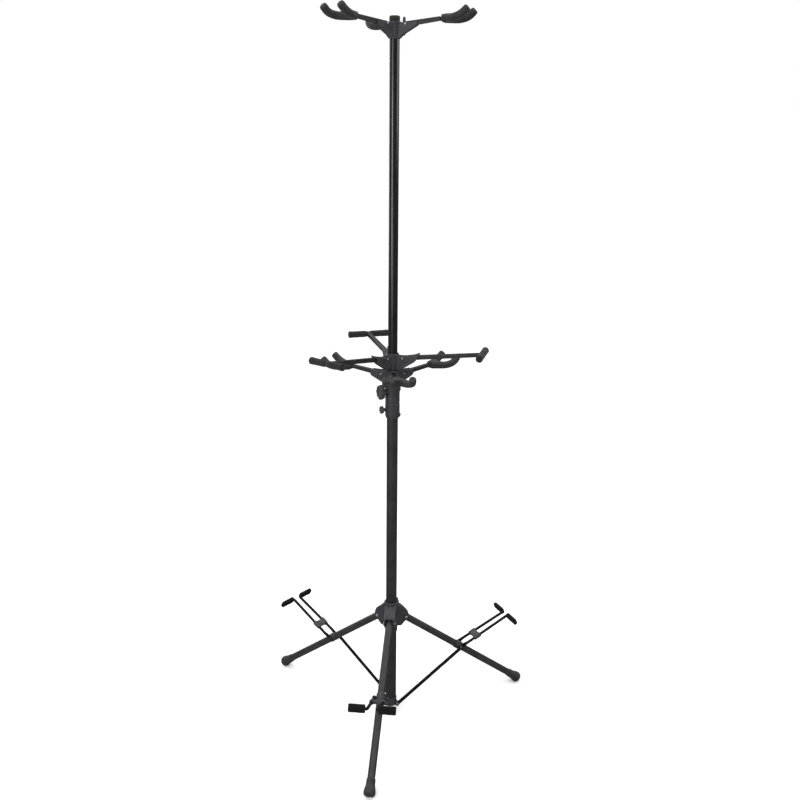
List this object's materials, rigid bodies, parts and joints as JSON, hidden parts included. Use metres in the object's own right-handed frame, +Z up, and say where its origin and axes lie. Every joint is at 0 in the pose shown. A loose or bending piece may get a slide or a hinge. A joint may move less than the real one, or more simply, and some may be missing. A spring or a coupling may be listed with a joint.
{
  "type": "guitar rack",
  "caption": "Folding tripod guitar rack: a telescoping mast with low cradles on the legs, mid-height neck yokes and back rests, and neck yokes at the top.",
  "frame": {"origin": "on the floor at the middle of the footprint's bounding box; the mast's axis stands 88.25 mm behind it, at x = 0, y = +0.08825", "axes": "+Z up along the mast, +X to the right seen from the front leg, -Y towards the side that the front leg points to"},
  "size_m": [0.7414, 0.6729, 1.8979],
  "materials": {
    "tube_paint": "satin black powder coat on steel tube and bar",
    "casting": "fine-grained dark grey glass-filled nylon moulding",
    "rubber": "matt black moulded rubber",
    "foam": "black closed-cell foam sleeve",
    "zinc": "bright zinc plate",
    "nylon": "natural nylon"
  },
  "bodies": {
    "mast": {"lower_tube": "tube_paint", "bottom_collar": "casting", "clamp_sleeve": "casting"},
    "sleeve_knob": {"sleeve_knob": "casting"},
    "sleeve_screw": {"sleeve_screw": "casting"},
    "leg_hub": {"leg_hub": "casting", "leg_pin_right": "zinc", "leg_pin_left": "zinc", "leg_pin_front": "zinc"},
    "hub_knob": {"hub_knob": "casting"},
    "leg_right": {"leg_right": "tube_paint", "foot_right": "rubber"},
    "brace_right": {"brace_right": "tube_paint"},
    "cradle_right": {"cradle_spacer_right": "casting", "cradle_rod_right_a": "tube_paint", "cradle_rod_right_b": "tube_paint", "cradle_pad_right_a": "foam", "cradle_pad_right_b": "foam"},
    "leg_left": {"leg_left": "tube_paint", "foot_left": "rubber"},
    "brace_left": {"brace_left": "tube_paint"},
    "cradle_left": {"cradle_spacer_left": "casting", "cradle_rod_left_a": "tube_paint", "cradle_rod_left_b": "tube_paint", "cradle_pad_left_a": "foam", "cradle_pad_left_b": "foam"},
    "leg_front": {"leg_front": "tube_paint", "foot_front": "rubber"},
    "brace_front": {"brace_front": "tube_paint"},
    "cradle_front": {"cradle_spacer_front": "casting", "cradle_rod_front_a": "tube_paint", "cradle_rod_front_b": "tube_paint", "cradle_pad_front_a": "foam", "cradle_pad_front_b": "foam"},
    "upper_mast": {"upper_tube": "tube_paint", "slide_bush": "nylon", "top_cap": "rubber"},
    "yoke_hub": {"yoke_hub": "casting"},
    "yoke_arm_a": {"yoke_arm_a": "tube_paint", "neck_yoke_a": "rubber"},
    "yoke_arm_b": {"yoke_arm_b": "tube_paint", "neck_yoke_b": "rubber"},
    "yoke_arm_c": {"yoke_arm_c": "tube_paint", "neck_yoke_c": "rubber"},
    "rest_hub": {"rest_hub": "casting"},
    "rest_arm_a": {"rest_arm_a": "tube_paint", "rest_pad_a": "foam"},
    "rest_arm_b": {"rest_arm_b": "tube_paint", "rest_pad_b": "foam"},
    "rest_arm_c": {"rest_arm_c": "tube_paint", "rest_pad_c": "foam"},
    "top_hub": {"top_hub": "casting"},
    "top_arm_a": {"top_arm_a": "tube_paint", "top_yoke_a": "rubber"},
    "top_arm_b": {"top_arm_b": "tube_paint", "top_yoke_b": "rubber"},
    "top_arm_c": {"top_arm_c": "tube_paint", "top_yoke_c": "rubber"},
    "top_wing_screw": {"top_wing_screw": "casting"}
  },
  "joints": [
    {"name": "tripod_fold", "type": "slide", "parent": "mast", "child": "leg_hub", "axis": [0, 0, 1], "range_m": [0, 0.18262]},
    {"name": "leg_right_hinge", "type": "hinge", "parent": "leg_hub", "child": "leg_right", "pos_m": [0.03421, 0.108, 0.28604], "axis": [-0.5, 0.866, 0], "range_deg": [0, 44.02]},
    {"name": "brace_right_hinge", "type": "hinge", "parent": "leg_right", "child": "brace_right", "pos_m": [0.18446, 0.19475, 0.15859], "axis": [0.5, -0.866, 0], "range_deg": [0, 84.73]},
    {"name": "cradle_right_tilt", "type": "hinge", "parent": "brace_right", "child": "cradle_right", "pos_m": [0.18446, 0.19475, 0.15859], "axis": [0.5, -0.866, 0], "range_deg": [-24, 0]},
    {"name": "leg_left_hinge", "type": "hinge", "parent": "leg_hub", "child": "leg_left", "pos_m": [-0.03421, 0.108, 0.28604], "axis": [-0.5, -0.866, 0], "range_deg": [0, 44.02]},
    {"name": "brace_left_hinge", "type": "hinge", "parent": "leg_left", "child": "brace_left", "pos_m": [-0.18446, 0.19475, 0.15859], "axis": [0.5, 0.866, 0], "range_deg": [0, 84.73]},
    {"name": "cradle_left_tilt", "type": "hinge", "parent": "brace_left", "child": "cradle_left", "pos_m": [-0.18446, 0.19475, 0.15859], "axis": [0.5, 0.866, 0], "range_deg": [-24, 0]},
    {"name": "leg_front_hinge", "type": "hinge", "parent": "leg_hub", "child": "leg_front", "pos_m": [0, 0.04875, 0.28604], "axis": [1, 0, 0], "range_deg": [0, 44.02]},
    {"name": "brace_front_hinge", "type": "hinge", "parent": "leg_front", "child": "brace_front", "pos_m": [0, -0.12475, 0.15859], "axis": [-1, 0, 0], "range_deg": [0, 84.73]},
    {"name": "cradle_front_tilt", "type": "hinge", "parent": "brace_front", "child": "cradle_front", "pos_m": [0, -0.12475, 0.15859], "axis": [-1, 0, 0], "range_deg": [-16, 8]},
    {"name": "mast_slide", "type": "slide", "parent": "mast", "child": "upper_mast", "axis": [0, 0, -1], "range_m": [0, 0.5]},
    {"name": "yoke_hub_swivel", "type": "hinge", "parent": "mast", "child": "yoke_hub", "pos_m": [0, 0.08825, 0.979], "axis": [0, 0, 1], "continuous": true},
    {"name": "yoke_arm_a_fold", "type": "hinge", "parent": "yoke_hub", "child": "yoke_arm_a", "pos_m": [0.02219, 0.10844, 0.988], "axis": [0.673, -0.7396, 0], "range_deg": [0, 70]},
    {"name": "yoke_arm_b_fold", "type": "hinge", "parent": "yoke_hub", "child": "yoke_arm_b", "pos_m": [-0.02858, 0.09737, 0.988], "axis": [0.304, 0.9527, 0], "range_deg": [0, 70]},
    {"name": "yoke_arm_c_fold", "type": "hinge", "parent": "yoke_hub", "child": "yoke_arm_c", "pos_m": [0.00639, 0.05894, 0.988], "axis": [-0.977, -0.213, 0], "range_deg": [0, 70]},
    {"name": "rest_hub_swivel", "type": "hinge", "parent": "mast", "child": "rest_hub", "pos_m": [0, 0.08825, 1.024], "axis": [0, 0, 1], "continuous": true},
    {"name": "rest_arm_a_fold", "type": "hinge", "parent": "rest_hub", "child": "rest_arm_a", "pos_m": [0.02786, 0.08542, 1.0345], "axis": [-0.1011, -0.9949, 0], "range_deg": [0, 76]},
    {"name": "rest_arm_b_fold", "type": "hinge", "parent": "rest_hub", "child": "rest_arm_b", "pos_m": [-0.01148, 0.11379, 1.0345], "axis": [0.9121, 0.4099, 0], "range_deg": [0, 76]},
    {"name": "rest_arm_c_fold", "type": "hinge", "parent": "rest_hub", "child": "rest_arm_c", "pos_m": [-0.01638, 0.06554, 1.0345], "axis": [-0.8111, 0.585, 0], "range_deg": [0, 76]},
    {"name": "top_hub_swivel", "type": "hinge", "parent": "upper_mast", "child": "top_hub", "pos_m": [0, 0.08825, 1.846], "axis": [0, 0, 1], "continuous": true},
    {"name": "top_arm_a_fold", "type": "hinge", "parent": "top_hub", "child": "top_arm_a", "pos_m": [0.02932, 0.08191, 1.86], "axis": [-0.2113, -0.9774, 0], "range_deg": [0, 70]},
    {"name": "top_arm_b_fold", "type": "hinge", "parent": "top_hub", "child": "top_arm_b", "pos_m": [-0.00917, 0.11681, 1.86], "axis": [0.9521, 0.3057, 0], "range_deg": [0, 70]},
    {"name": "top_arm_c_fold", "type": "hinge", "parent": "top_hub", "child": "top_arm_c", "pos_m": [-0.02015, 0.06603, 1.86], "axis": [-0.7408, 0.6717, 0], "range_deg": [0, 70]},
    {"name": "sleeve_knob_turn", "type": "hinge", "parent": "mast", "child": "sleeve_knob", "pos_m": [-0.02544, 0.07235, 0.943], "axis": [-0.848, -0.5299, 0], "range_deg": [0, 180]},
    {"name": "sleeve_screw_turn", "type": "hinge", "parent": "mast", "child": "sleeve_screw", "pos_m": [-0.02673, 0.07463, 0.894], "axis": [-0.891, -0.454, 0], "range_deg": [0, 180]},
    {"name": "hub_knob_turn", "type": "hinge", "parent": "leg_hub", "child": "hub_knob", "pos_m": [0.00417, 0.11796, 0.322], "axis": [0.1392, 0.9903, 0], "range_deg": [0, 180]},
    {"name": "top_wing_screw_turn", "type": "hinge", "parent": "top_hub", "child": "top_wing_screw", "pos_m": [0.01874, 0.10906, 1.858], "axis": [0.6691, 0.7431, 0], "range_deg": [0, 180]}
  ],
  "couplings": [
    {"joint": "leg_right_hinge", "follows": "tripod_fold", "rad_per_m": 4.2051},
    {"joint": "brace_right_hinge", "follows": "tripod_fold", "rad_per_m": 8.0962},
    {"joint": "leg_left_hinge", "follows": "tripod_fold", "rad_per_m": 4.2051},
    {"joint": "brace_left_hinge", "follows": "tripod_fold", "rad_per_m": 8.0962},
    {"joint": "leg_front_hinge", "follows": "tripod_fold", "rad_per_m": 4.2051},
    {"joint": "brace_front_hinge", "follows": "tripod_fold", "rad_per_m": 8.0962}
  ]
}
